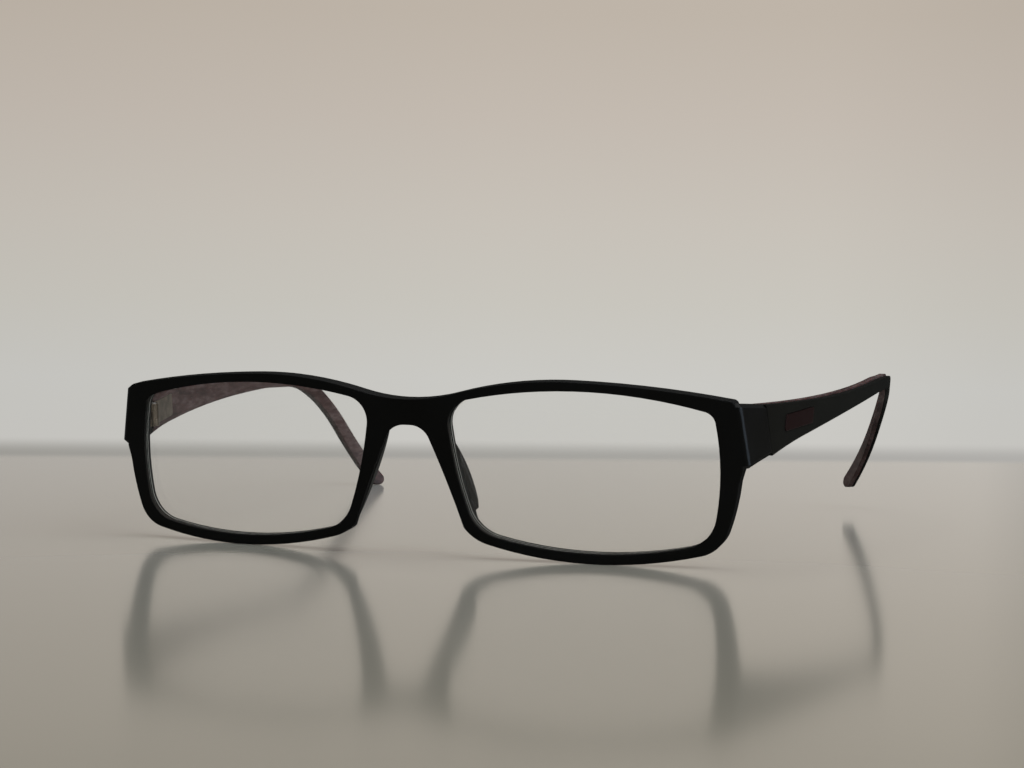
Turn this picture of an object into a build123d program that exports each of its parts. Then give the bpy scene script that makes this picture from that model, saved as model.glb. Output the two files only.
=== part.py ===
from build123d import *
import math
import os

# Rectangular eyeglasses with a one-piece moulded front, butt-jointed temples on three-barrel hinges,
# and temples laminated from a dark outer layer and a maroon liner over a flat metal core.
# Millimetres. X points to the wearer's left, Y rearwards along the temples, Z up from the table.
# The front is drawn flat, curved to its face curve and leaned; everything else follows from it.
# Pieces are drawn for the wearer's left side and mirrored to the right.

# Lens openings and bridge, drawn on the flat front
LENS_WIDTH = 52.5
LENS_HEIGHT = 31.7
BRIDGE_WIDTH = 17.5
RIM_FOOT = 1.95
RIM_BROW = 1.75
RIM_SIDE = 3.65

# Corners of the opening, as shares of its width and height: brow and foot, nasal and temporal
OPENING_CORNER_SHARES = ((-0.013, 0.905), (0.977, 0.869), (0.965, 0.079), (0.097, 0.118))
# Outward bulge of the sides that start at those corners, as shares of each side's length
OPENING_BULGE_SHARES = (0.069, 0.061, 0.068, 0.039)
BROW_NASAL_RADIUS = 5.0
BROW_TEMPORAL_RADIUS = 2.8
FOOT_TEMPORAL_RADIUS = 7.0
FOOT_NASAL_RADIUS = 8.0

# Outer outline of the front. Points are shares of its half width or half bridge, and of its height
FRONT_HALF_WIDTH = BRIDGE_WIDTH / 2 + LENS_WIDTH + RIM_SIDE
FRONT_HEIGHT = RIM_FOOT + LENS_HEIGHT + RIM_BROW
FRONT_DEPTH = 3.7
BRIDGE_TOP_SHARE = 0.887
BROW_SADDLE_SHARES = (1.142, 0.925)
BROW_CREST_SHARES = (0.508, 1.0)
BROW_END_SHARES = (0.985, 0.898)
BROW_END_RADIUS = 1.0
HEEL_SHARES = (1.009, 0.532)
HEEL_RADIUS = 1.6
NOTCH_SHARES = (0.997, 0.458)
NOTCH_RADIUS = 6.0
RIM_SIDE_BULGE_SHARE = 0.036
RIM_CORNER_SHARES = (0.943, 0.083)
RIM_FOOT_BULGE_SHARE = 0.0747
NOSE_CORNER_SHARES = (1.368, 0.1266)
NOSE_BULGE_SHARE = 0.015
ARCH_CORNER_SHARES = (0.3827, 0.744)
RIM_CORNER_RADIUS = 6.5
NOSE_CORNER_RADIUS = 9.0
# The arch's rounding goes with the half bridge, so that a narrow bridge keeps room for it
ARCH_RADIUS_SHARE = 0.48
NOSE_SPLAY_ANGLE = 13.0

# Curve and lean of the front
FACE_CURVE_RADIUS = 324.0
FORWARD_LEAN_ANGLE = 6.08
LEAN_LEVEL = 20.0

# Lenses: nearly plain, with one thickness all over and a square bevel that seats in the rim's groove
LENS_FRONT_RADIUS = 190.0
LENS_THICKNESS = 1.9
LENS_SETBACK = 0.1
GROOVE_SETBACK = 1.1
GROOVE_WIDTH = 1.2
GROOVE_DEPTH = 0.6
LENS_CLEARANCE = 0.05
BEVEL_ROOT = 1.2

# Side profile of endpiece and temple: the bend's corner behind the front, and the tip below it.
# Places along the shank are shares of the bend's corner, and levels are shares of the front's height
BEND_CORNER = 128.7
TIP_LENGTH = 35.1
TIP_WIDTH = 3.6
TIP_ANGLE = 59.0
TIP_ROUND_SHARE = 0.47
BEND_RADIUS = 30.0
CREST_RADIUS = 60.0
SHANK_END_HEIGHT = 3.7
PROFILE_START = 2.0
FOOT_KNEE_SHARE = 0.256
SHANK_END_SHARE = 0.754
PROFILE_TOP_SHARE = 0.907
PROFILE_FOOT_SHARE = 0.512
FOOT_KNEE_LEVEL_SHARE = 0.661
SHANK_TOP_SHARE = 0.896
BEND_TOP_SHARE = 0.885
TOP_HOLLOW = 1.15
ENDPIECE_FOOT_HOLLOW = 0.65
SHANK_FOOT_HOLLOW = 0.5

# Plan of endpiece and temple: the outer face bows out to the bend, then the tip turns in
PLAN_START = 2.0
BOW_END_SHARE = 0.777
BOW_SPREAD = 14.2
BOW_RISE = 2.8
TIP_INTURN_FOOT = 17.0
TIP_INTURN_TOP = 3.8
ROOT_THICKNESS = 4.1
BEND_THICKNESS = 2.5
TIP_THICKNESS = 2.2
ROOT_LEAN_ANGLE = 7.0
BAND_LEVEL = 40.0
LEAN_LEVEL_SHARE = 0.65

# Layers of the temple
OUTER_LAYER_SHARE = 0.47
LINER_REVEAL = 0.45
ROOT_REVEAL_SHARE = 0.6
ENDPIECE_EDGE_RADIUS = 1.5
ENDPIECE_EDGE_BEVEL = 0.8
RUN_SHARE = 0.8
SET_ANGLE = 2.24

# Metal core between the layers
CORE_START_SHARE = 0.28
CORE_START_TOP_SHARE = 0.808
CORE_HEIGHT = 1.3
CORE_THICKNESS = 0.9
CORE_INSET = 1.3
CORE_END_SHARE = 0.92
CORE_CLEARANCE = 0.05

# Hinge: five barrels on one screw, both leaves recessed flush into the inner faces
HINGE_Y = 16.8
HINGE_LEVEL_SHARE = 0.712
HINGE_HEIGHT = 4.8
HINGE_TOE_ANGLE = 12.5
KNUCKLES = 3
KNUCKLE_RADIUS = 1.25
KNUCKLE_GAP = 0.06
BARREL_CLEARANCE = 0.25
PIN_RADIUS = 0.55
RUNNING_CLEARANCE = 0.04
PIN_SEAT_CLEARANCE = 0.02
HEAD_RADIUS = 0.9
HEAD_HEIGHT = 0.55
HEAD_PROUD = 0.2
SLOT_WIDTH = 0.28
SLOT_DEPTH = 0.25
LEAF_THICKNESS = 0.8
FRONT_LEAF_LENGTH = 3.9
TEMPLE_LEAF_LENGTH = 13.5
LEAF_CORNER_RADIUS = 0.6
LEAF_CLEARANCE = 0.05
ANCHOR_WIDTH = 1.1
ANCHOR_DEPTH = 0.7
BUTT_GAP = 0.12

# Inlay in the outer face of each temple
INLAY_START = 24.0
INLAY_LENGTH = 17.0
INLAY_HEIGHT = 3.2
INLAY_FOOT_SHARE = 0.722
INLAY_SLANT_SHARE = 0.5
INLAY_RISE = 0.5
INLAY_DEPTH = 0.6
INLAY_PROUD = 0.12
INLAY_CLEARANCE = 0.04
INLAY_CORNER_RADIUS = 0.5

# Nose pads: D-shaped fins behind the nasal rims, splayed away from the nose
PAD_LENGTH = 21.0
PAD_DEPTH = 3.4
PAD_THICKNESS = 2.1
PAD_HEIGHT_SHARE = 0.53
PAD_OUTSET = 2.2
PAD_SPLAY_ANGLE = 7.0
PAD_LENS_CLEARANCE = 0.2
PAD_EDGE_BEVEL = 0.5
PAD_ROOT = 1.5

# One overrun for every cut, longer than anything that it cuts through
OVERRUN = 200.0


def flat_face(corners, bulges, radii):
    """Closed face through corners: arcs bulge outwards, and each corner is rounded."""
    sides = []
    count = len(corners)
    for index in range(count):
        start = Vector(*corners[index])
        end = Vector(*corners[(index + 1) % count])
        if bulges[index] == 0:
            sides.append(Line(start, end))
        else:
            sides.append(SagittaArc(start, end, bulges[index]))
    face = make_face(sides).face()
    for corner, radius in zip(corners, radii):
        if radius > 0:
            point = Vector(*corner)
            vertex = min(face.vertices(), key=lambda v: (Vector(v) - point).length)
            face = face.fillet_2d(radius, [vertex])
    return face


def side_length(corners, index):
    """Length of the side that starts at a corner."""
    start, end = corners[index], corners[(index + 1) % len(corners)]
    return math.hypot(end[0] - start[0], end[1] - start[1])


def opening_face(growth=0):
    """One lens opening on the flat front, grown all round where a groove or bevel needs it."""
    left = BRIDGE_WIDTH / 2
    corners = [(left + x * LENS_WIDTH, RIM_FOOT + z * LENS_HEIGHT) for x, z in OPENING_CORNER_SHARES]
    bulges = [share * side_length(corners, i) for i, share in enumerate(OPENING_BULGE_SHARES)]
    radii = (BROW_NASAL_RADIUS, BROW_TEMPORAL_RADIUS, FOOT_TEMPORAL_RADIUS, FOOT_NASAL_RADIUS)
    face = flat_face(corners, bulges, radii)
    if growth:
        face = offset(face, growth).face()
    return face


def level(share):
    """Level above the table at a share of the front's height."""
    return share * FRONT_HEIGHT


def front_point(shares):
    """Point of the front's outline from its shares of half width and height."""
    return Vector(shares[0] * FRONT_HALF_WIDTH, level(shares[1]))


def bridge_point(shares):
    """Point of the front's outline from its shares of half bridge and height."""
    return Vector(shares[0] * BRIDGE_WIDTH / 2, level(shares[1]))


def outline_face():
    """Outer outline of the flat front: saddle over the bridge, two crests, rims and arch."""
    saddle = bridge_point(BROW_SADDLE_SHARES)
    crest = front_point(BROW_CREST_SHARES)
    brow_end = front_point(BROW_END_SHARES)
    heel = front_point(HEEL_SHARES)
    notch = front_point(NOTCH_SHARES)
    rim_corner = front_point(RIM_CORNER_SHARES)
    nose_corner = bridge_point(NOSE_CORNER_SHARES)
    arch_corner = bridge_point(ARCH_CORNER_SHARES)
    bridge_top = bridge_point((0, BRIDGE_TOP_SHARE))

    saddle_arc = ThreePointArc(Vector(-saddle.X, saddle.Y), bridge_top, saddle)
    crest_arc = TangentArc(saddle, crest, tangent=saddle_arc % 1)
    brow_arc = TangentArc(crest, brow_end, tangent=crest_arc % 1)
    half = [
        crest_arc,
        brow_arc,
        Line(brow_end, heel),
        Line(heel, notch),
        SagittaArc(notch, rim_corner, RIM_SIDE_BULGE_SHARE * (notch - rim_corner).length),
        SagittaArc(rim_corner, nose_corner, RIM_FOOT_BULGE_SHARE * (rim_corner - nose_corner).length),
        SagittaArc(nose_corner, arch_corner, NOSE_BULGE_SHARE * (nose_corner - arch_corner).length),
    ]
    other_half = [edge.mirror(Plane.YZ) for edge in half]
    under_bridge = Line(arch_corner, Vector(-arch_corner.X, arch_corner.Y))
    face = make_face([saddle_arc, under_bridge] + half + other_half).face()
    rounded = (
        (brow_end, BROW_END_RADIUS),
        (heel, HEEL_RADIUS),
        (notch, NOTCH_RADIUS),
        (rim_corner, RIM_CORNER_RADIUS),
        (nose_corner, NOSE_CORNER_RADIUS),
        (arch_corner, ARCH_RADIUS_SHARE * BRIDGE_WIDTH / 2),
    )
    for corner, radius in rounded:
        for side in (1, -1):
            point = Vector(side * corner.X, corner.Y)
            vertex = min(face.vertices(), key=lambda v: (Vector(v) - point).length)
            face = face.fillet_2d(radius, [vertex])
    return face


def stand(face):
    """Prism of a flat front's face, run front to back through the whole front."""
    return extrude(Plane.XZ * face, amount=OVERRUN, both=True)


def face_curve_shell(near, far):
    """Curved slab between two depths behind the front surface."""
    centre = Pos(0, FACE_CURVE_RADIUS, 0)
    outer = Cylinder(FACE_CURVE_RADIUS - near, OVERRUN)
    inner = Cylinder(FACE_CURVE_RADIUS - far, OVERRUN)
    near_side = Pos(0, FACE_CURVE_RADIUS / 4, 0) * Box(OVERRUN, FACE_CURVE_RADIUS, OVERRUN)
    return centre * (outer - inner) & near_side


def nose_splay():
    """What the sides of the nose gap and the arch lose towards the back."""
    nose_corner, arch_corner = bridge_point(NOSE_CORNER_SHARES), bridge_point(ARCH_CORNER_SHARES)
    one_side = [(nose_corner.X, nose_corner.Y), (arch_corner.X, arch_corner.Y)]
    other_side = [(-x, z) for x, z in reversed(one_side)]
    bulge = -NOSE_BULGE_SHARE * (nose_corner - arch_corner).length
    radius = ARCH_RADIUS_SHARE * BRIDGE_WIDTH / 2
    gap = flat_face(one_side + other_side, [bulge, 0, bulge, 0], [0, radius, radius, 0])
    return extrude(Plane.XZ * gap, amount=2 * FRONT_DEPTH, dir=(0, 1, 0), taper=-NOSE_SPLAY_ANGLE)


def flat_front():
    """The two rims and the bridge, curved but not yet leaned, with their lens grooves."""
    body = stand(outline_face()) & face_curve_shell(0, FRONT_DEPTH)
    body -= nose_splay()
    for side in (1, -1):
        opening = opening_face()
        groove = opening_face(GROOVE_DEPTH)
        if side < 0:
            opening = opening.mirror(Plane.YZ)
            groove = groove.mirror(Plane.YZ)
        body -= stand(opening)
        body -= stand(groove) & face_curve_shell(GROOVE_SETBACK, GROOVE_SETBACK + GROOVE_WIDTH)
    return body


def flat_lens():
    """The left lens, curved but not yet leaned."""
    centre_x = BRIDGE_WIDTH / 2 + LENS_WIDTH / 2
    centre_z = RIM_FOOT + LENS_HEIGHT / 2
    wrap = math.degrees(math.asin(centre_x / FACE_CURVE_RADIUS))
    surface_y = FACE_CURVE_RADIUS - math.sqrt(FACE_CURVE_RADIUS ** 2 - centre_x ** 2)
    seat = Pos(centre_x, surface_y, centre_z) * Rot(0, 0, wrap)
    front_ball = seat * Pos(0, LENS_SETBACK + LENS_FRONT_RADIUS, 0) * Sphere(LENS_FRONT_RADIUS)
    back_ball = seat * Pos(0, LENS_SETBACK + LENS_FRONT_RADIUS, 0) * Sphere(LENS_FRONT_RADIUS - LENS_THICKNESS)
    near_side = seat * Box(OVERRUN, LENS_FRONT_RADIUS, OVERRUN)
    blank = stand(opening_face(-LENS_CLEARANCE)) & near_side & front_ball
    body = blank - back_ball
    bevel_face = opening_face(GROOVE_DEPTH - LENS_CLEARANCE)
    ring = stand(bevel_face) - stand(opening_face(-BEVEL_ROOT))
    bevel_near = GROOVE_SETBACK + LENS_CLEARANCE
    bevel_far = GROOVE_SETBACK + GROOVE_WIDTH - LENS_CLEARANCE
    return body + (ring & face_curve_shell(bevel_near, bevel_far))


def tip_direction():
    """Unit vector down the tip, in the side profile's Y and Z."""
    angle = math.radians(TIP_ANGLE)
    return Vector(math.cos(angle), -math.sin(angle))


def side_point(share, level_share, drop=0):
    """Point of the side profile at shares of the bend's corner and of the front's height."""
    return share * BEND_CORNER, level(level_share) - drop


def bend_corner(inset):
    """Corner of the bend where both of its lines lie an inset inside the outer edges."""
    down = tip_direction()
    corner = Vector(*side_point(1, BEND_TOP_SHARE))
    along = (corner - Vector(*side_point(SHANK_END_SHARE, SHANK_TOP_SHARE))).normalized()
    normal_top = Vector(along.Y, -along.X)
    normal_tip = Vector(down.Y, -down.X)
    share = inset / (1 + normal_top.dot(normal_tip))
    return corner + (normal_top + normal_tip) * share


def tip_end(inset, shortfall=0):
    """Point on the tip's end line, an inset inside its outer edge."""
    down = tip_direction()
    return bend_corner(0) + down * (TIP_LENGTH - shortfall) + Vector(down.Y, -down.X) * inset


def side_profile(inset=0):
    """Outline of endpiece and temple seen from the side. The inset grows from the hinge back."""
    inner = TIP_WIDTH - inset
    bend_out = bend_corner(inset)
    bend_in = bend_corner(inner)
    end_out = tip_end(inset)
    end_in = tip_end(inner)
    corners = [
        (PROFILE_START, level(PROFILE_TOP_SHARE)),
        side_point(SHANK_END_SHARE, SHANK_TOP_SHARE, inset),
        (bend_out.X, bend_out.Y),
        (end_out.X, end_out.Y),
        (end_in.X, end_in.Y),
        (bend_in.X, bend_in.Y),
        side_point(SHANK_END_SHARE, SHANK_TOP_SHARE, SHANK_END_HEIGHT - inset),
        side_point(FOOT_KNEE_SHARE, FOOT_KNEE_LEVEL_SHARE, -inset),
        (PROFILE_START, level(PROFILE_FOOT_SHARE) - ROOT_REVEAL_SHARE * inset),
    ]
    bulges = [-TOP_HOLLOW, 0, 0, 0, 0, 0, -SHANK_FOOT_HOLLOW, -ENDPIECE_FOOT_HOLLOW, 0]
    end_round = TIP_ROUND_SHARE * (TIP_WIDTH - 2 * inset)
    bend_inside = BEND_RADIUS - inner
    radii = [0, CREST_RADIUS, BEND_RADIUS - inset, end_round, end_round, bend_inside, CREST_RADIUS, 0, 0]
    return flat_face(corners, bulges, radii)


def side_prism(profile):
    """Prism of a side profile, run from the glasses' middle past the temple."""
    return extrude(Plane.YZ * profile, amount=OVERRUN)


def plan_points(share, proud, lifted):
    """Root, bow end and tip end of a plan curve at a share of the thickness, low or lifted."""
    lean = math.tan(math.radians(ROOT_LEAN_ANGLE)) * (1 - share)
    height = (1 - LEAN_LEVEL_SHARE) * BAND_LEVEL if lifted else -LEAN_LEVEL_SHARE * BAND_LEVEL
    root = Vector(FRONT_HALF_WIDTH - share * ROOT_THICKNESS + proud - lean * height, PLAN_START)
    bow_x = FRONT_HALF_WIDTH + BOW_SPREAD
    bow_end = Vector(bow_x - share * BEND_THICKNESS + proud, BOW_END_SHARE * BEND_CORNER)
    tip_x = bow_x - (TIP_INTURN_TOP if lifted else TIP_INTURN_FOOT)
    tip_y = BEND_CORNER + TIP_LENGTH * tip_direction().X + TIP_WIDTH
    return root, bow_end, Vector(tip_x - share * TIP_THICKNESS + proud, tip_y)


def plan_curve(share, proud, lifted):
    """Bowed shank and in-turned tip of one face of the temple, seen from above."""
    root, bow_end, tip = plan_points(share, proud, lifted)
    shank = SagittaArc(root, bow_end, -BOW_RISE)
    curl = TangentArc(bow_end, tip, tangent=shank % 1)
    return [shank, curl]


def temple_band(outer_share, inner_share, outer_proud=0, inner_proud=0):
    """Upright bowed band between two faces of the temple, full height from the table."""
    levels = []
    for lifted in (False, True):
        outer = plan_curve(outer_share, outer_proud, lifted)
        inner = plan_curve(inner_share, inner_proud, lifted)
        root = Line(outer[0] @ 0, inner[0] @ 0)
        tip = Line(outer[1] @ 1, inner[1] @ 1)
        face = make_face(outer + [tip] + inner + [root]).face()
        levels.append(Pos(0, 0, BAND_LEVEL if lifted else 0) * face)
    return loft(levels, ruled=True)


def inner_face_x(y):
    """Distance of the shank's inner face from the middle plane, at a place along it."""
    root, bow_end, _ = plan_points(1, 0, False)
    run = (y - root.Y) / (bow_end.Y - root.Y)
    return root.X + (bow_end.X - root.X) * run + 4 * BOW_RISE * run * (1 - run)


def hinge_point():
    """Middle of the left hinge's pin."""
    return Vector(inner_face_x(HINGE_Y), HINGE_Y, level(HINGE_LEVEL_SHARE))


def hinge_place(toe=HINGE_TOE_ANGLE):
    """Frame of the left hinge: Z up its pin, X out through the temple, Y back along the leaf."""
    return Pos(hinge_point()) * Rot(FORWARD_LEAN_ANGLE, 0, 0) * Rot(0, 0, -toe)


def set_at_hinge(shape, angle):
    """A piece of the temple, turned up at the hinge as the real temple is set."""
    return shape.rotate(Axis(hinge_point(), (1, 0, 0)), angle)


def behind_butt(gap):
    """Everything behind the butt joint, a gap away from it."""
    return hinge_place(0) * Pos(0, OVERRUN / 2 + gap, 0) * Box(OVERRUN, OVERRUN, OVERRUN)


def knuckle_spans():
    """Foot and top of each of the hinge's barrels along the pin."""
    pitch = HINGE_HEIGHT / KNUCKLES
    foot = -HINGE_HEIGHT / 2
    return [
        (foot + i * pitch + KNUCKLE_GAP / 2, foot + (i + 1) * pitch - KNUCKLE_GAP / 2) for i in range(KNUCKLES)
    ]


def leaf_plate(length, growth=0):
    """Plate of a hinge leaf, behind the barrels, with rounded far corners."""
    near = KNUCKLE_RADIUS + BARREL_CLEARANCE
    height = HINGE_HEIGHT + 2 * growth
    run = length + 2 * growth
    plate = Pos(LEAF_THICKNESS / 2, near + length / 2, 0) * Box(LEAF_THICKNESS, run, height)
    far_edges = plate.edges().filter_by(Axis.X).group_by(Axis.Y)[-1]
    return fillet(far_edges, LEAF_CORNER_RADIUS)


def anchor_lugs(length, growth=0):
    """Square lugs on the hidden side of a leaf, that hold it in the plastic."""
    near = KNUCKLE_RADIUS + BARREL_CLEARANCE
    count = 2 if length > 2 * HINGE_HEIGHT else 1
    width, depth = ANCHOR_WIDTH + 2 * growth, ANCHOR_DEPTH + growth
    lug = Box(depth, width, width, align=(Align.MIN, Align.CENTER, Align.CENTER))
    return [Pos(LEAF_THICKNESS, near + length * (i + 0.5) / count, 0) * lug for i in range(count)]


def hinge_leaf(length, first_knuckle, bore):
    """Leaf with every other barrel from the first: plate, anchor lugs, tabs and bored barrels."""
    leaf = leaf_plate(length)
    for lug in anchor_lugs(length):
        leaf += lug
    near = KNUCKLE_RADIUS + BARREL_CLEARANCE
    for foot, top in knuckle_spans()[first_knuckle::2]:
        middle, height = (foot + top) / 2, top - foot
        leaf += Pos(0, 0, middle) * Cylinder(KNUCKLE_RADIUS, height)
        leaf += Pos(LEAF_THICKNESS / 2, near / 2, middle) * Box(LEAF_THICKNESS, near, height)
    return leaf - Cylinder(bore, OVERRUN)


def head_seat(growth=0):
    """Place that the screw's head takes in the top barrel."""
    sunk = HEAD_HEIGHT - HEAD_PROUD + growth
    seat = Cylinder(HEAD_RADIUS + growth, OVERRUN, align=(Align.CENTER, Align.CENTER, Align.MIN))
    return Pos(0, 0, HINGE_HEIGHT / 2 - sunk) * seat


def hinge_screw():
    """Screw that is the hinge's pin, with a slotted head sunk in the top barrel."""
    seat_z = HINGE_HEIGHT / 2 - HEAD_HEIGHT + HEAD_PROUD
    up = (Align.CENTER, Align.CENTER, Align.MIN)
    screw = Pos(0, 0, -HINGE_HEIGHT / 2) * Cylinder(PIN_RADIUS, seat_z + HINGE_HEIGHT / 2, align=up)
    screw += Pos(0, 0, seat_z) * Cylinder(HEAD_RADIUS, HEAD_HEIGHT, align=up)
    slot_z = HINGE_HEIGHT / 2 + HEAD_PROUD - SLOT_DEPTH
    slot = Pos(0, 0, slot_z) * Box(SLOT_WIDTH, OVERRUN, OVERRUN, align=up)
    return screw - slot


def barrel_pocket():
    """Round clearance for the barrels and the screw's head in the plastic around them."""
    reach = HINGE_HEIGHT + 2 * (HEAD_PROUD + BARREL_CLEARANCE)
    return Cylinder(KNUCKLE_RADIUS + BARREL_CLEARANCE, reach)


def leaf_recess(length):
    """Recess that takes a leaf and its tabs flush, open towards the inner side."""
    plate = leaf_plate(length, LEAF_CLEARANCE)
    near = KNUCKLE_RADIUS + BARREL_CLEARANCE
    tabs = Pos(LEAF_THICKNESS / 2, near / 2, 0)
    plate += tabs * Box(LEAF_THICKNESS, near, HINGE_HEIGHT + 2 * LEAF_CLEARANCE)
    recess = Pos(LEAF_CLEARANCE, 0, 0) * plate + Pos(-LEAF_THICKNESS / 2, 0, 0) * plate
    for lug in anchor_lugs(length, LEAF_CLEARANCE):
        recess += lug
    return recess


def endpiece(front_surface):
    """Endpiece from the front surface back to the butt joint."""
    blank = side_prism(side_profile()) & temple_band(0, 1)
    blank = (blank & front_surface) - behind_butt(0)
    blank = fillet(front_upright(blank), ENDPIECE_EDGE_RADIUS)
    return chamfer(outer_runs(blank), ENDPIECE_EDGE_BEVEL)


def front_upright(blank):
    """Upright edge between the endpiece's outer face and the front surface."""
    size = blank.bounding_box().size
    uprights = [e for e in blank.edges() if abs((e @ 1 - e @ 0).Z) > RUN_SHARE * size.Z / 2]
    return max(uprights, key=lambda e: (e @ 0.5).X - (e @ 0.5).Y)


def outer_runs(blank):
    """Top and foot edges that run back along the endpiece's outer face."""
    size = blank.bounding_box().size
    runs = [e for e in blank.edges() if abs((e @ 1 - e @ 0).Y) > RUN_SHARE * size.Y / 2]
    return sorted(runs, key=lambda e: -(e @ 0.5).X)[:2]


def hinge_seats(length):
    """Everything that a leaf and its barrels take out of the plastic."""
    return [barrel_pocket(), leaf_recess(length)]


def temple_blank(inset, outer_share, inner_share, set_angle, outer_proud=0, inner_proud=0):
    """Layer of the temple, set up or down at the hinge and cut off at the butt joint."""
    blank = side_prism(side_profile(inset)) & temple_band(outer_share, inner_share, outer_proud, inner_proud)
    return set_at_hinge(blank, set_angle) & behind_butt(BUTT_GAP)


def core_face(growth=0):
    """Side profile of the flat core: along the shank, round the bend and down the tip."""
    top_inset = CORE_INSET - growth
    foot_inset = CORE_INSET + CORE_HEIGHT + growth
    bend_out, bend_in = bend_corner(top_inset), bend_corner(foot_inset)
    shortfall = (1 - CORE_END_SHARE) * TIP_LENGTH - growth
    end_out, end_in = tip_end(top_inset, shortfall), tip_end(foot_inset, shortfall)
    start, top = side_point(CORE_START_SHARE, CORE_START_TOP_SHARE)
    corners = [
        (start - growth, top + growth),
        side_point(SHANK_END_SHARE, SHANK_TOP_SHARE, top_inset),
        (bend_out.X, bend_out.Y),
        (end_out.X, end_out.Y),
        (end_in.X, end_in.Y),
        (bend_in.X, bend_in.Y),
        side_point(SHANK_END_SHARE, SHANK_TOP_SHARE, foot_inset),
        (start - growth, top - CORE_HEIGHT - growth),
    ]
    bulges = [0] * len(corners)
    radii = [0, CREST_RADIUS, BEND_RADIUS - top_inset, 0, 0, BEND_RADIUS - foot_inset, CREST_RADIUS, 0]
    return flat_face(corners, bulges, radii)


def core_blank(set_angle, growth=0):
    """Flat core, half in each layer."""
    half = CORE_THICKNESS / 2 + growth
    band = temple_band(OUTER_LAYER_SHARE, OUTER_LAYER_SHARE, half, -half)
    return set_at_hinge(side_prism(core_face(growth)) & band, set_angle)


def inlay_face(growth=0):
    """Slim leaning bar, seen from the side."""
    slant = INLAY_SLANT_SHARE * INLAY_HEIGHT
    foot, top = level(INLAY_FOOT_SHARE) - growth, level(INLAY_FOOT_SHARE) + INLAY_HEIGHT + growth
    start, end = INLAY_START - growth, INLAY_START + INLAY_LENGTH + growth
    corners = [
        (start + slant, top),
        (end, top + INLAY_RISE),
        (end - slant, foot + INLAY_RISE),
        (start, foot),
    ]
    radii = [INLAY_CORNER_RADIUS + growth] * len(corners)
    return flat_face(corners, [0] * len(corners), radii)


def inlay_blank(set_angle, proud, depth, growth=0):
    """Inlay from a depth inside the outer face to a little proud of it."""
    band = temple_band(0, 0, proud, -depth)
    return set_at_hinge(side_prism(inlay_face(growth)) & band, set_angle)


def temple_pieces(set_angle):
    """The temple's own pieces for the wearer's left side."""
    place = hinge_place()
    channel = core_blank(set_angle, CORE_CLEARANCE)
    outer = temple_blank(LINER_REVEAL, 0, OUTER_LAYER_SHARE, set_angle)
    outer -= channel
    recess_depth = INLAY_DEPTH + INLAY_CLEARANCE
    outer -= inlay_blank(set_angle, INLAY_DEPTH, recess_depth, INLAY_CLEARANCE)
    liner = temple_blank(0, OUTER_LAYER_SHARE, 1, set_angle)
    liner -= channel
    for seat in hinge_seats(TEMPLE_LEAF_LENGTH):
        liner -= place * seat
    return {
        "temple": outer,
        "temple_liner": liner,
        "temple_core": core_blank(set_angle),
        "inlay": inlay_blank(set_angle, INLAY_PROUD, INLAY_DEPTH),
        "hinge_temple": place * hinge_leaf(TEMPLE_LEAF_LENGTH, 1, PIN_RADIUS + RUNNING_CLEARANCE),
    }


def front_hinge_pieces():
    """Front leaf and screw of the left hinge."""
    place = hinge_place()
    leaf = hinge_leaf(FRONT_LEAF_LENGTH, 0, PIN_RADIUS + PIN_SEAT_CLEARANCE).mirror(Plane.XZ)
    leaf -= head_seat(PIN_SEAT_CLEARANCE)
    return {"hinge_front": place * leaf, "hinge_screw": place * hinge_screw()}


def nose_pad():
    """D-shaped pad bonded to the back of the flat front's left nasal rim, clear of the lens."""
    nose_corner, arch_corner = bridge_point(NOSE_CORNER_SHARES), bridge_point(ARCH_CORNER_SHARES)
    along = arch_corner - nose_corner
    frontal = math.degrees(math.atan2(-along.X, along.Y))
    middle = nose_corner + along * PAD_HEIGHT_SHARE
    place = Pos(middle.X + PAD_OUTSET, FRONT_DEPTH, middle.Y) * Rot(0, -frontal, 0) * Rot(0, 0, -PAD_SPLAY_ANGLE)
    half = PAD_LENGTH / 2
    root = Polyline(Vector(0, half), Vector(-PAD_ROOT, half), Vector(-PAD_ROOT, -half), Vector(0, -half))
    back = ThreePointArc(Vector(0, half), Vector(PAD_DEPTH, 0), Vector(0, -half))
    profile = make_face([root, back]).face()
    fin = extrude(Plane.YZ * profile, amount=PAD_THICKNESS / 2, both=True)
    rim = [e for e in fin.edges() if e.length > PAD_LENGTH and e.geom_type == GeomType.CIRCLE]
    fin = chamfer(rim, PAD_EDGE_BEVEL)
    lens_room = stand(opening_face(PAD_LENS_CLEARANCE)) & face_curve_shell(0, FRONT_DEPTH + PAD_ROOT)
    cut = place * fin - face_curve_shell(0, FRONT_DEPTH) - lens_room
    return max(cut.solids(), key=lambda solid: solid.volume)


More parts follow.
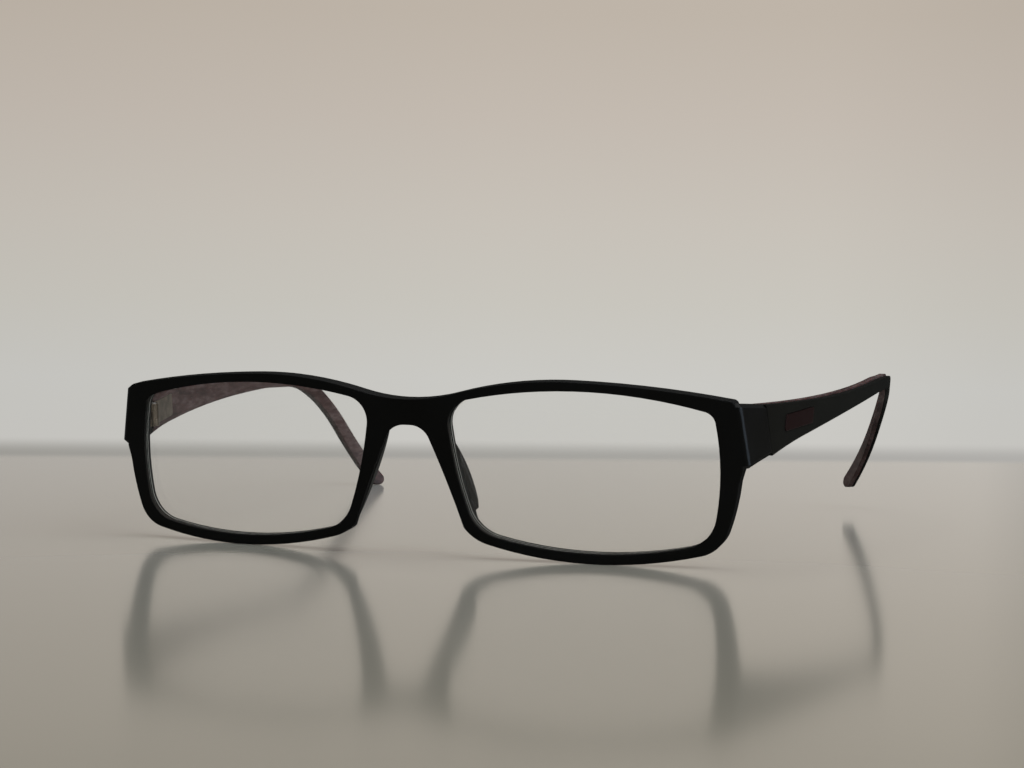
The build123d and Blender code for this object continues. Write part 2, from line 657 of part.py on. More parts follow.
def build():
    """Every node of the glasses, on the table, in the frame that they are drawn in."""
    lean = Pos(0, 0, LEAN_LEVEL) * Rot(FORWARD_LEAN_ANGLE, 0, 0) * Pos(0, 0, -LEAN_LEVEL)
    rims = flat_front()
    lift = Pos(0, 0, -(lean * rims).bounding_box().min.Z) * lean
    surface = lift * Pos(0, FACE_CURVE_RADIUS, 0) * Cylinder(FACE_CURVE_RADIUS, OVERRUN)
    end = lift.inverse() * endpiece(surface)
    front = lift * (rims + end + end.mirror(Plane.YZ))
    for seat in hinge_seats(FRONT_LEAF_LENGTH):
        placed = hinge_place() * seat.mirror(Plane.XZ)
        front -= placed
        front -= placed.mirror(Plane.YZ)
    nodes = {"front_frame": front}
    sided = dict(front_hinge_pieces())
    sided["lens"] = lift * flat_lens()
    sided["nose_pad"] = lift * nose_pad()
    for name, shape in sided.items():
        nodes[name + "_left"] = shape
        nodes[name + "_right"] = shape.mirror(Plane.YZ)
    for name, shape in temple_pieces(SET_ANGLE).items():
        nodes[name + "_left"] = shape
    for name, shape in temple_pieces(0).items():
        nodes[name + "_right"] = shape.mirror(Plane.YZ)
    return nodes


def centre_of(nodes):
    """Middle of the whole assembly's foot, which becomes the origin."""
    boxes = [shape.bounding_box() for shape in nodes.values()]
    front_end, tip_end_y = min(box.min.Y for box in boxes), max(box.max.Y for box in boxes)
    return Vector(0, (front_end + tip_end_y) / 2, min(box.min.Z for box in boxes))


if __name__ == "__main__":
    os.makedirs("parts", exist_ok=True)
    pieces = build()
    origin = centre_of(pieces)
    for node, shape in pieces.items():
        export_step(Pos(-origin.X, -origin.Y, -origin.Z) * shape, f"parts/{node}.step")
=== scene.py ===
"""Rectangular eyeglasses standing open on a glossy pale table, in soft studio light."""

import logging
import math
from collections.abc import Sequence
from dataclasses import dataclass
from enum import Enum

import bpy
from mathutils import Matrix, Vector


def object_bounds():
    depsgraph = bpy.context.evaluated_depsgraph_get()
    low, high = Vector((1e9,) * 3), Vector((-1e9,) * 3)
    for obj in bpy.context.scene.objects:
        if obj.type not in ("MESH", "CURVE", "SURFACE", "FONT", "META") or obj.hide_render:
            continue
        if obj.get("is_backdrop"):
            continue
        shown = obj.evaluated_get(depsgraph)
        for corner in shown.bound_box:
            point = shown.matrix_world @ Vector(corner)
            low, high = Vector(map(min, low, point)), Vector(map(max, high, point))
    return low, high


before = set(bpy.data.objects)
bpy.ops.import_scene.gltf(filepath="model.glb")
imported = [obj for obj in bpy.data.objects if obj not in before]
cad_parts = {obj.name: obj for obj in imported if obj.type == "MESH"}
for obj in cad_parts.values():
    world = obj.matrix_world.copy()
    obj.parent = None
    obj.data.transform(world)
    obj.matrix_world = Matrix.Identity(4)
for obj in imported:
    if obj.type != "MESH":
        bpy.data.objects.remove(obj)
CAD_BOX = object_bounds()

log = logging.getLogger("eyeglasses")

Colour = tuple[float, float, float]
Range = tuple[float, float]
Levels = tuple[tuple[float, float], ...]
Stops = Sequence[tuple[float, Colour]]
Socket = bpy.types.NodeSocket
Material = bpy.types.Material


class Side(Enum):
    """The wearer's two sides."""

    LEFT = "left"
    RIGHT = "right"


class Slot(Enum):
    """Material slots of the record."""

    FRAME = "frame_black"
    LENS = "lens_clear"
    PAD = "pad_black"
    HINGE = "hinge_metal"
    SCREW = "screw_steel"
    TEMPLE = "temple_olive"
    LINER = "liner_maroon"
    CORE = "core_metal"
    INLAY = "inlay_red"


class Tree:
    """Node tree with short calls for its nodes and links."""

    def __init__(self, tree: bpy.types.NodeTree) -> None:
        """Clears a node tree for use.

        Args:
            tree: node tree of a material or of the world.
        """
        self.nodes = tree.nodes
        self.links = tree.links
        self.nodes.clear()

    def add(self, kind: str, **sockets: object) -> bpy.types.Node:
        """Adds a node and sets its inputs and properties.

        Args:
            kind: type of the node, without the ShaderNode prefix.
            sockets: values by input or property name, with spaces written as underscores.

        Returns:
            The new node.
        """
        node = self.nodes.new("ShaderNode" + kind)
        for name, value in sockets.items():
            label = name.replace("_", " ")
            if label in node.inputs:
                node.inputs[label].default_value = value
            else:
                setattr(node, name, value)
        return node

    def link(self, source: Socket, target: Socket) -> None:
        """Links an output to an input."""
        self.links.new(source, target)

    def parts(self, vector: Socket) -> tuple[Socket, Socket, Socket]:
        """Splits a vector.

        Args:
            vector: vector to split.

        Returns:
            Its X, Y and Z.
        """
        split = self.add("SeparateXYZ")
        self.link(vector, split.inputs["Vector"])
        return tuple(split.outputs)

    def number(self, operation: str, *values: Socket | float, clamp: bool = False) -> Socket:
        """Works out one number from others.

        Args:
            operation: name of the operation.
            values: its inputs in order, linked or fixed.
            clamp: whether the result is kept between 0 and 1.

        Returns:
            The result.
        """
        node = self.add("Math", operation=operation, use_clamp=clamp)
        for value, target in zip(values, node.inputs):
            if isinstance(value, (int, float)):
                target.default_value = value
            else:
                self.link(value, target)
        return node.outputs["Value"]

    def reach(self, value: Socket, ends: Range, **options: object) -> Socket:
        """How far a value has come from one end to the other, from 0 to 1.

        Args:
            value: the value.
            ends: where it starts and where it ends.
            options: other values of the node.

        Returns:
            The share.
        """
        node = self.add("MapRange", From_Min=ends[0], From_Max=ends[1], **options)
        self.link(value, node.inputs["Value"])
        return node.outputs["Result"]

    def ramp(self, value: Socket, stops: Stops) -> Socket:
        """Colours by value.

        Args:
            value: what picks the colour.
            stops: places from 0 to 1, and their colours.

        Returns:
            The colour.
        """
        ramp = self.add("ValToRGB")
        elements = ramp.color_ramp.elements
        while len(elements) < len(stops):
            elements.new(1.0)
        for element, (place, colour) in zip(elements, stops):
            element.position = place
            element.color = (*colour, 1.0)
        self.link(value, ramp.inputs["Fac"])
        return ramp.outputs["Color"]

    def mixed(self, factor: Socket, first: Socket, second: Socket) -> Socket:
        """Mixes two shaders.

        Args:
            factor: share of the second one, from 0 to 1.
            first: shader at 0.
            second: shader at 1.

        Returns:
            The mixed shader.
        """
        mix = self.add("MixShader")
        self.link(factor, mix.inputs["Fac"])
        self.link(first, mix.inputs[1])
        self.link(second, mix.inputs[2])
        return mix.outputs["Shader"]


class Shader(Tree):
    """Node tree of one material."""

    BEVEL_SAMPLES = 6
    MATTING_SPAN: Range = (0.6, 0.9)
    # Normal weights between which the painted ridge highlight is laid on.
    RIDGE_SPAN: Range = (-0.45, -0.495)

    def __init__(self, name: str) -> None:
        """Makes an empty node material.

        Args:
            name: name of the material.
        """
        self.material = bpy.data.materials.new(name)
        self.material.use_nodes = True
        super().__init__(self.material.node_tree)
        self.output = self.add("OutputMaterial")

    def place(self, stretch: tuple[float, float, float] = (1.0, 1.0, 1.0)) -> Socket:
        """Coordinates that stay on the piece, stretched along its axes.

        Args:
            stretch: scale along X, Y and Z.

        Returns:
            The stretched coordinates.
        """
        where = self.add("TexCoord")
        mapping = self.add("Mapping", Scale=stretch)
        self.link(where.outputs["Object"], mapping.inputs["Vector"])
        return mapping.outputs["Vector"]

    def noise(self, where: Socket, scale: float, detail: float) -> Socket:
        """Noise over the given coordinates.

        Args:
            where: coordinates.
            scale: features per metre.
            detail: octaves of finer noise.

        Returns:
            The noise's value.
        """
        noise = self.add("TexNoise", Scale=scale, Detail=detail)
        self.link(where, noise.inputs["Vector"])
        return noise.outputs["Fac"]

    def spread(self, value: Socket, low: float, high: float) -> Socket:
        """A value from 0 to 1 spread between two numbers.

        Args:
            value: value from 0 to 1.
            low: number at 0.
            high: number at 1.

        Returns:
            The spread value.
        """
        spread = self.add("MapRange", To_Min=low, To_Max=high)
        self.link(value, spread.inputs["Value"])
        return spread.outputs["Result"]

    def relief(self, height: Socket, depth: float, strength: float, edge: float) -> Socket:
        """Normal with fine relief over softly rounded edges.

        Args:
            height: relief from 0 to 1.
            depth: depth of the relief in metres.
            strength: how much of the relief shows.
            edge: radius that edges catch the light with, in metres.

        Returns:
            The normal.
        """
        bevel = self.add("Bevel", samples=self.BEVEL_SAMPLES, Radius=edge)
        bump = self.add("Bump", Strength=strength, Distance=depth)
        self.link(height, bump.inputs["Height"])
        self.link(bevel.outputs["Normal"], bump.inputs["Normal"])
        return bump.outputs["Normal"]

    def matted(self, roughness: Socket, growth: float) -> Socket:
        """Roughness that grows where the surface is seen at a low angle.

        Args:
            roughness: roughness where it is seen straight on.
            growth: what is added at the lowest angles.

        Returns:
            The roughness.
        """
        turned = self.add("LayerWeight", Blend=0.5)
        grown = self.reach(turned.outputs["Facing"], self.MATTING_SPAN, To_Min=0.0, To_Max=growth)
        return self.number("ADD", roughness, grown, clamp=True)

    def ridge(self) -> Socket:
        """Where a rounded upright turns halfway between front and side, which is where the painted
        ridge highlight goes.

        Returns:
            The weight of the painted ridge highlight, from 0 to 1.
        """
        sideways, depth, _ = self.parts(self.add("TexCoord").outputs["Normal"])
        both = self.number("MULTIPLY", self.number("ABSOLUTE", sideways), depth)
        return self.reach(both, self.RIDGE_SPAN)

    def finish(self, surface: Socket) -> Material:
        """Puts a shader on the surface and gives the material."""
        self.link(surface, self.output.inputs["Surface"])
        return self.material


@dataclass(frozen=True)
class SatinAcetate:
    """Tumbled dark acetate: a fine skin of wear over one deep colour.

    Attributes:
        name: name of the material.
        deep: colour of the untouched patches.
        worn: colour of the handled patches.
        roughness: least and greatest roughness.
        patches: patches per metre.
        patch_stops: noise levels of the deep and of the worn colour.
        grain: features of the skin per metre.
        skin_depth: depth of the skin's relief in metres.
        skin_strength: how much of that relief shows.
        edge: radius that edges catch the light with, in metres.
        specular: level of the mirror reflection.
        matting: roughness added at low angles.
        ridge_highlight: colour of a painted highlight on a rounded upright ridge, if there is one.
    """

    name: str
    deep: Colour
    worn: Colour
    roughness: Range = (0.32, 0.44)
    patches: float = 90.0
    patch_stops: Range = (0.35, 0.72)
    grain: float = 2600.0
    skin_depth: float = 0.00003
    skin_strength: float = 0.25
    edge: float = 0.00045
    specular: float = 0.12
    matting: float = 0.6
    ridge_highlight: Colour | None = None

    def make(self) -> Material:
        """Builds mottled colour, uneven gloss, a fine skin and a painted highlight on the ridge.

        Returns:
            The material.
        """
        shader = Shader(self.name)
        where = shader.place()
        patches = shader.noise(where, self.patches, 4.0)
        skin = shader.noise(where, self.grain, 2.0)
        body = shader.add("BsdfPrincipled", Specular_IOR_Level=self.specular)
        colour = shader.ramp(patches, tuple(zip(self.patch_stops, (self.deep, self.worn))))
        # Painted highlight: a pale blue-grey colour is laid into the base colour where the normal
        # turns halfway between front and side.
        if self.ridge_highlight:
            painted_highlight = shader.add("Mix", data_type="RGBA")
            painted_highlight.inputs["B"].default_value = (*self.ridge_highlight, 1.0)
            shader.link(shader.ridge(), painted_highlight.inputs["Factor"])
            shader.link(colour, painted_highlight.inputs["A"])
            colour = painted_highlight.outputs["Result"]
        gloss = shader.matted(shader.spread(patches, *self.roughness), self.matting)
        normal = shader.relief(skin, self.skin_depth, self.skin_strength, self.edge)
        shader.link(colour, body.inputs["Base Color"])
        shader.link(gloss, body.inputs["Roughness"])
        shader.link(normal, body.inputs["Normal"])
        return shader.finish(body.outputs["BSDF"])


@dataclass(frozen=True)
class GrainedAcetate:
    """Translucent acetate with a long cloudy grain, cut from a laminated sheet.

    Attributes:
        name: name of the material.
        dark: colour of the clouds' hearts.
        middle: colour between.
        pale: colour of the flecks.
        colour_stops: noise levels of the three colours.
        roughness: least and greatest roughness.
        grain: stretch of the grain along the piece's axes.
        cloud: clouds per metre.
        cloud_share: share of the clouds in the colour.
        fleck: flecks per metre.
        fleck_share: share of the flecks in the colour.
        relief_depth: depth of the flecks' relief in metres.
        relief_strength: how much of that relief shows.
        edge: radius that edges catch the light with, in metres.
        specular: level of the mirror reflection.
        depth_weight: share of the light that passes under the skin.
        depth_scale: how far it goes there, in metres.
        matting: roughness added at low angles.
    """

    name: str
    dark: Colour
    middle: Colour
    pale: Colour
    colour_stops: tuple[float, float, float] = (0.38, 0.52, 0.68)
    roughness: Range = (0.24, 0.38)
    grain: tuple[float, float, float] = (1.0, 0.12, 1.0)
    cloud: float = 330.0
    cloud_share: float = 0.6
    fleck: float = 1500.0
    fleck_share: float = 0.45
    relief_depth: float = 0.00002
    relief_strength: float = 0.2
    edge: float = 0.0004
    specular: float = 0.25
    depth_weight: float = 0.12
    depth_scale: float = 0.0006
    matting: float = 0.6

    def make(self) -> Material:
        """Builds clouds along the temple, fine flecks and some depth under the skin.

        Returns:
            The material.
        """
        shader = Shader(self.name)
        along = shader.place(self.grain)
        clouds = shader.noise(along, self.cloud, 5.0)
        flecks = shader.noise(along, self.fleck, 3.0)
        cloudy = shader.spread(clouds, 0.0, self.cloud_share)
        both = shader.number("MULTIPLY_ADD", flecks, self.fleck_share, cloudy)
        colours = (self.dark, self.middle, self.pale)
        colour = shader.ramp(both, tuple(zip(self.colour_stops, colours)))
        body = shader.add(
            "BsdfPrincipled",
            Specular_IOR_Level=self.specular,
            Subsurface_Weight=self.depth_weight,
            Subsurface_Scale=self.depth_scale,
        )
        gloss = shader.matted(shader.spread(clouds, *self.roughness), self.matting)
        normal = shader.relief(flecks, self.relief_depth, self.relief_strength, self.edge)
        shader.link(colour, body.inputs["Base Color"])
        shader.link(gloss, body.inputs["Roughness"])
        shader.link(normal, body.inputs["Normal"])
        return shader.finish(body.outputs["BSDF"])


@dataclass(frozen=True)
class BrushedMetal:
    """Small stamped or turned metal, brushed one way and a little tarnished.

    Attributes:
        name: name of the material.
        bright: colour of the clean metal.
        dull: colour of the tarnish.
        roughness: least and greatest roughness.
        brushing: stretch of the brushing along the piece's axes.
        lines: brushing lines per metre.
        line_depth: depth of the lines in metres.
        line_strength: how much of them shows.
        tarnish: tarnished spots per metre.
        tarnish_stops: noise levels of the dull and of the bright colour.
        edge: radius that edges catch the light with, in metres.
    """

    name: str
    bright: Colour
    dull: Colour
    roughness: Range = (0.25, 0.45)
    brushing: tuple[float, float, float] = (1.0, 0.06, 1.0)
    lines: float = 9000.0
    line_depth: float = 0.00001
    line_strength: float = 0.25
    tarnish: float = 420.0
    tarnish_stops: Range = (0.35, 0.65)
    edge: float = 0.00012

    def make(self) -> Material:
        """Builds brushing lines, tarnish and softened edges.

        Returns:
            The material.
        """
        shader = Shader(self.name)
        lines = shader.noise(shader.place(self.brushing), self.lines, 2.0)
        tarnish = shader.noise(shader.place(), self.tarnish, 4.0)
        body = shader.add("BsdfPrincipled", Metallic=1.0)
        colour = shader.ramp(tarnish, tuple(zip(self.tarnish_stops, (self.dull, self.bright))))
        normal = shader.relief(lines, self.line_depth, self.line_strength, self.edge)
        shader.link(colour, body.inputs["Base Color"])
        shader.link(shader.spread(lines, *self.roughness), body.inputs["Roughness"])
        shader.link(normal, body.inputs["Normal"])
        return shader.finish(body.outputs["BSDF"])


@dataclass(frozen=True)
class PolishedEnamel:
    """Thick glossy enamel with a slight orange peel and fine metallic flecks.

    Attributes:
        name: name of the material.
        deep: colour between the flecks.
        lit: colour of the flecks.
        flecks: flecks per metre.
        fleck_stops: noise levels of the deep and of the lit colour.
        peel: waves of the orange peel per metre.
        peel_depth: its depth in metres.
        peel_strength: how much of it shows.
        edge: radius that edges catch the light with, in metres.
        roughness: roughness under the coat.
        specular: level of the mirror reflection under the coat.
        coat: weight of the clear coat.
        coat_roughness: roughness of the clear coat.
    """

    name: str
    deep: Colour
    lit: Colour
    flecks: float = 5200.0
    fleck_stops: Range = (0.45, 0.75)
    peel: float = 700.0
    peel_depth: float = 0.00002
    peel_strength: float = 0.2
    edge: float = 0.0002
    roughness: float = 0.36
    specular: float = 0.1
    coat: float = 0.08
    coat_roughness: float = 0.08

    def make(self) -> Material:
        """Builds flecked colour under a clear coat.

        Returns:
            The material.
        """
        shader = Shader(self.name)
        where = shader.place()
        flecks = shader.noise(where, self.flecks, 2.0)
        peel = shader.noise(where, self.peel, 2.0)
        body = shader.add(
            "BsdfPrincipled",
            Roughness=self.roughness,
            Specular_IOR_Level=self.specular,
            Coat_Weight=self.coat,
            Coat_Roughness=self.coat_roughness,
        )
        colour = shader.ramp(flecks, tuple(zip(self.fleck_stops, (self.deep, self.lit))))
        normal = shader.relief(peel, self.peel_depth, self.peel_strength, self.edge)
        shader.link(colour, body.inputs["Base Color"])
        shader.link(normal, body.inputs["Normal"])
        return shader.finish(body.outputs["BSDF"])


@dataclass(frozen=True)
class CoatedLens:
    """Clear lens: polished faces with a faint coating, and a ground edge all round.

    Attributes:
        name: name of the material.
        glass: tint of the polished faces.
        ground: colour of the ground edge.
        index: refractive index.
        smears: smears per metre.
        smear: roughness of the clean and of the smeared face.
        frost: features of the ground edge per metre.
        frost_stops: noise levels of its shaded and of its full colour.
        frost_shade: how dark the shaded colour is.
        frost_roughness: least and greatest roughness of the ground edge.
        frost_specular: level of the ground edge's mirror reflection.
        edge_band: how squarely a face looks front or back where ground turns into polished.
        shadow: share of the light that passes in shadows.
    """

    name: str
    glass: Colour
    ground: Colour
    index: float = 1.5
    smears: float = 60.0
    smear: Range = (0.0, 0.035)
    frost: float = 3000.0
    frost_stops: Range = (0.3, 0.7)
    frost_shade: float = 0.7
    frost_roughness: Range = (0.4, 0.6)
    frost_specular: float = 0.3
    edge_band: Range = (0.25, 0.55)
    shadow: Colour = (0.9, 0.92, 0.9)

    def make(self) -> Material:
        """Builds clear faces where they look front or back, and a ground edge between.

        Returns:
            The material.
        """
        shader = Shader(self.name)
        where = shader.place()
        looks = shader.add("NewGeometry")
        _, depth, _ = shader.parts(looks.outputs["True Normal"])
        clear = shader.reach(shader.number("ABSOLUTE", depth), self.edge_band)
        faces = shader.mixed(clear, self.ground_edge(shader, where), self.polished(shader, where))
        rays = shader.add("LightPath")
        passing = shader.add("BsdfTransparent", Color=(*self.shadow, 1.0))
        lit = shader.mixed(rays.outputs["Is Shadow Ray"], faces, passing.outputs["BSDF"])
        return shader.finish(lit)

    def polished(self, shader: Shader, where: Socket) -> Socket:
        """Clear glass with faint smears.

        Args:
            shader: node tree to add to.
            where: coordinates on the lens.

        Returns:
            The glass.
        """
        glass = shader.add("BsdfPrincipled", IOR=self.index, Transmission_Weight=1.0, Coat_Weight=0.0)
        glass.inputs["Base Color"].default_value = (*self.glass, 1.0)
        smears = shader.noise(where, self.smears, 5.0)
        shader.link(shader.spread(smears, *self.smear), glass.inputs["Roughness"])
        return glass.outputs["BSDF"]

    def ground_edge(self, shader: Shader, where: Socket) -> Socket:
        """Frosted surface of the ground edge.

        Args:
            shader: node tree to add to.
            where: coordinates on the lens.

        Returns:
            The frosted surface.
        """
        ground = shader.add("BsdfPrincipled", Specular_IOR_Level=self.frost_specular)
        frost = shader.noise(where, self.frost, 2.0)
        shaded = tuple(part * self.frost_shade for part in self.ground)
        colour = shader.ramp(frost, tuple(zip(self.frost_stops, (shaded, self.ground))))
        shader.link(colour, ground.inputs["Base Color"])
        shader.link(shader.spread(frost, *self.frost_roughness), ground.inputs["Roughness"])
        return ground.outputs["BSDF"]


FINISHES = {
    Slot.FRAME: SatinAcetate(
        name="satin_black_acetate",
        deep=(0.0022, 0.0023, 0.0022),
        worn=(0.0040, 0.0044, 0.0048),
        # Painted highlight: a pale blue-grey line on the endpiece's rounded upright ridge.
        ridge_highlight=(0.036, 0.043, 0.052),
    ),
    Slot.PAD: SatinAcetate(
        name="moulded_pad",
        deep=(0.004, 0.004, 0.004),
        worn=(0.009, 0.009, 0.010),
        roughness=(0.12, 0.25),
        specular=0.5,
    ),
    Slot.TEMPLE: SatinAcetate(
        name="olive_acetate",
        deep=(0.0026, 0.0028, 0.0020),
        worn=(0.0055, 0.0056, 0.0043),
    ),
    Slot.LINER: GrainedAcetate(
        name="maroon_liner",
        dark=(0.017, 0.0045, 0.005),
        middle=(0.056, 0.026, 0.0255),
        pale=(0.120, 0.082, 0.080),
    ),
    Slot.HINGE: BrushedMetal(
        name="nickel_hinge",
        bright=(0.30, 0.245, 0.19),
        dull=(0.15, 0.12, 0.09),
        roughness=(0.3, 0.5),
        brushing=(1.0, 1.0, 0.08),
    ),
    Slot.SCREW: BrushedMetal(
        name="steel_screw",
        bright=(0.55, 0.54, 0.52),
        dull=(0.35, 0.34, 0.32),
        roughness=(0.2, 0.35),
    ),
    Slot.CORE: BrushedMetal(
        name="core_wire",
        bright=(0.45, 0.44, 0.42),
        dull=(0.3, 0.29, 0.28),
    ),
    Slot.INLAY: PolishedEnamel(
        name="dark_red_enamel",
        deep=(0.007, 0.0008, 0.0011),
        lit=(0.018, 0.0020, 0.0028),
    ),
    Slot.LENS: CoatedLens(
        name="coated_lens",
        glass=(0.992, 0.994, 0.99),
        ground=(0.30, 0.30, 0.28),
    ),
}


def dress(node: str, material: Material) -> None:
    """Gives a carried-over node its material.

    Args:
        node: name of the node.
        material: what it is made of.
    """
    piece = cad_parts[node]
    piece.data.materials.clear()
    piece.data.materials.append(material)
    log.info("%s: %s, %d faces", node, material.name, len(piece.data.polygons))


@dataclass
class Front:
    """Moulded front with its lenses and nose pads."""

    frame_finish: Material
    lens_finish: Material
    pad_finish: Material

    def build(self) -> None:
        """Dresses the front, both lenses and both pads."""
        dress("front_frame", self.frame_finish)
        for side in Side:
            dress(f"lens_{side.value}", self.lens_finish)
            dress(f"nose_pad_{side.value}", self.pad_finish)


@dataclass
class Hinge:
    """Three-barrel hinge: a leaf in the front, a leaf in the temple and the screw between."""

    side: Side
    leaf_finish: Material
    screw_finish: Material

    def build(self) -> None:
        """Dresses both leaves and the screw."""
        dress(f"hinge_front_{self.side.value}", self.leaf_finish)
        dress(f"hinge_temple_{self.side.value}", self.leaf_finish)
        dress(f"hinge_screw_{self.side.value}", self.screw_finish)


@dataclass
class Temple:
    """Laminated temple: dark outer layer, grained liner, hidden core and inlay."""

    side: Side
    outer_finish: Material
    liner_finish: Material
    core_finish: Material
    inlay_finish: Material

    def build(self) -> None:
        """Dresses the temple's layers, core and inlay."""
        dress(f"temple_{self.side.value}", self.outer_finish)
        dress(f"temple_liner_{self.side.value}", self.liner_finish)
        dress(f"temple_core_{self.side.value}", self.core_finish)
        dress(f"inlay_{self.side.value}", self.inlay_finish)


@dataclass
class Table:
    """Glossy pale table top that ends in a soft seam of painted shade. Past it the plain backdrop
    shows.

    Attributes:
        half_size: half of the table's side, in metres.
        near_colour: colour in front.
        far_colour: paler colour at the seam, a painted sheen that stands in for the backdrop's glow
            reflected at low angles.
        seam_shade_colours: colours that the seam's painted shade glows with, on the left and on the
            right.
        seam_across: where those two colours lie, in metres.
        near_edge: where the near colour ends, in metres.
        far_edge: where the seam starts, in metres.
        seam_width: how far the top takes to turn into the seam, in metres.
        seam_fade: how far the seam takes to fade, in metres.
        azimuth: turn of the seam, in degrees.
        index: refractive index of the lacquer.
        roughness: middle roughness.
        unevenness: share by which the roughness varies.
        clouds: clouds per metre.
        cloudiness: share by which the colour varies.
    """

    half_size: float = 4.0
    near_colour: Colour = (0.295, 0.275, 0.225)
    far_colour: Colour = (0.338, 0.352, 0.345)
    seam_shade_colours: tuple[Colour, Colour] = ((0.335, 0.325, 0.300), (0.43, 0.42, 0.40))
    seam_across: Range = (-0.15, 0.20)
    near_edge: float = -0.25
    far_edge: float = 0.176
    seam_width: float = 0.026
    seam_fade: float = 0.085
    azimuth: float = 26.4
    index: float = 1.45
    roughness: float = 0.13
    unevenness: float = 0.1
    clouds: float = 6.0
    cloudiness: float = 0.04

    def build(self) -> bpy.types.Object:
        """Makes the floor and marks it as stage.

        Returns:
            The floor.
        """
        size = self.half_size
        mesh = bpy.data.meshes.new("table_top")
        corners = [(-size, -size, 0.0), (size, -size, 0.0), (size, size, 0.0), (-size, size, 0.0)]
        mesh.from_pydata(corners, [], [(0, 1, 2, 3)])
        top = bpy.data.objects.new("table_top", mesh)
        bpy.context.scene.collection.objects.link(top)
        mesh.materials.append(self.finish())
        top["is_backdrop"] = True
        log.info("table_top: %.2f m square", 2 * size)
        return top

    def finish(self) -> Material:
        """Builds the lacquer, the seam of painted shade that it passes into, and the opening beyond.

        Returns:
            The material.
        """
        shader = Shader("pale_lacquer")
        where = shader.add("TexCoord")
        turned = shader.add("Mapping", Rotation=(0.0, 0.0, -math.radians(self.azimuth)))
        shader.link(where.outputs["Object"], turned.inputs["Vector"])
        across, depth, _ = shader.parts(turned.outputs["Vector"])

        top = self.lacquer(shader, turned.outputs["Vector"], depth)
        # Painted shade: the seam glows by itself with colours darker than the backdrop, darker on the
        # left, where the table meets the wall.
        seam = shader.add("Emission")
        shade = shader.ramp(
            shader.reach(across, self.seam_across), tuple(zip((0.0, 1.0), self.seam_shade_colours))
        )
        shader.link(shade, seam.inputs["Color"])
        open_air = shader.add("BsdfTransparent")

        seam_end = self.far_edge + self.seam_width
        into_seam = shader.reach(depth, (self.far_edge, seam_end), interpolation_type="SMOOTHSTEP")
        past_seam = shader.reach(
            depth, (seam_end, seam_end + self.seam_fade), interpolation_type="SMOOTHSTEP"
        )
        edge = shader.mixed(into_seam, top, seam.outputs["Emission"])
        return shader.finish(shader.mixed(past_seam, edge, open_air.outputs["BSDF"]))

    def lacquer(self, shader: Shader, where: Socket, depth: Socket) -> Socket:
        """Pale lacquer with faint clouds, painted paler towards the seam as a sheen of the backdrop's
        reflected glow.

        Args:
            shader: node tree to add to.
            where: coordinates on the table.
            depth: distance towards the backdrop.

        Returns:
            The lacquer.
        """
        top = shader.add("BsdfPrincipled", IOR=self.index)
        cloud = shader.noise(where, self.clouds, 3.0)
        # Painted sheen: the colour turns from the warmer near colour to the paler far colour towards
        # the seam.
        along = shader.reach(depth, (self.near_edge, self.far_edge))
        tint = shader.ramp(along, ((0.0, self.near_colour), (1.0, self.far_colour)))
        clouded = shader.add("HueSaturation")
        brightness = shader.spread(cloud, 1 - self.cloudiness, 1 + self.cloudiness)
        low, high = (self.roughness * share for share in (1 - self.unevenness, 1 + self.unevenness))
        shader.link(tint, clouded.inputs["Color"])
        shader.link(brightness, clouded.inputs["Value"])
        shader.link(clouded.outputs["Color"], top.inputs["Base Color"])
        shader.link(shader.spread(cloud, low, high), top.inputs["Roughness"])
        return top.outputs["BSDF"]


@dataclass(frozen=True)
class Lamp:
    """Square soft lamp that faces the glasses.

    Attributes:
        name: name of the lamp.
        place: where it hangs, in metres.
        size: length of its side, in metres.
        power: its power in watts.
        colour: its colour.
    """

    name: str
    place: tuple[float, float, float]
    size: float
    power: float
    colour: Colour

    def build(self) -> None:
        """Makes the lamp and turns it to the glasses."""
        light = bpy.data.lights.new(self.name, "AREA")
        light.shape = "SQUARE"
        light.size = self.size
        light.energy = self.power
        light.color = self.colour
        lamp = bpy.data.objects.new(self.name, light)
        lamp.location = self.place
        lamp.rotation_euler = Vector(self.place).to_track_quat("Z", "Y").to_euler()
        bpy.context.scene.collection.objects.link(lamp)
        log.info("%s: %.1f W", self.name, self.power)


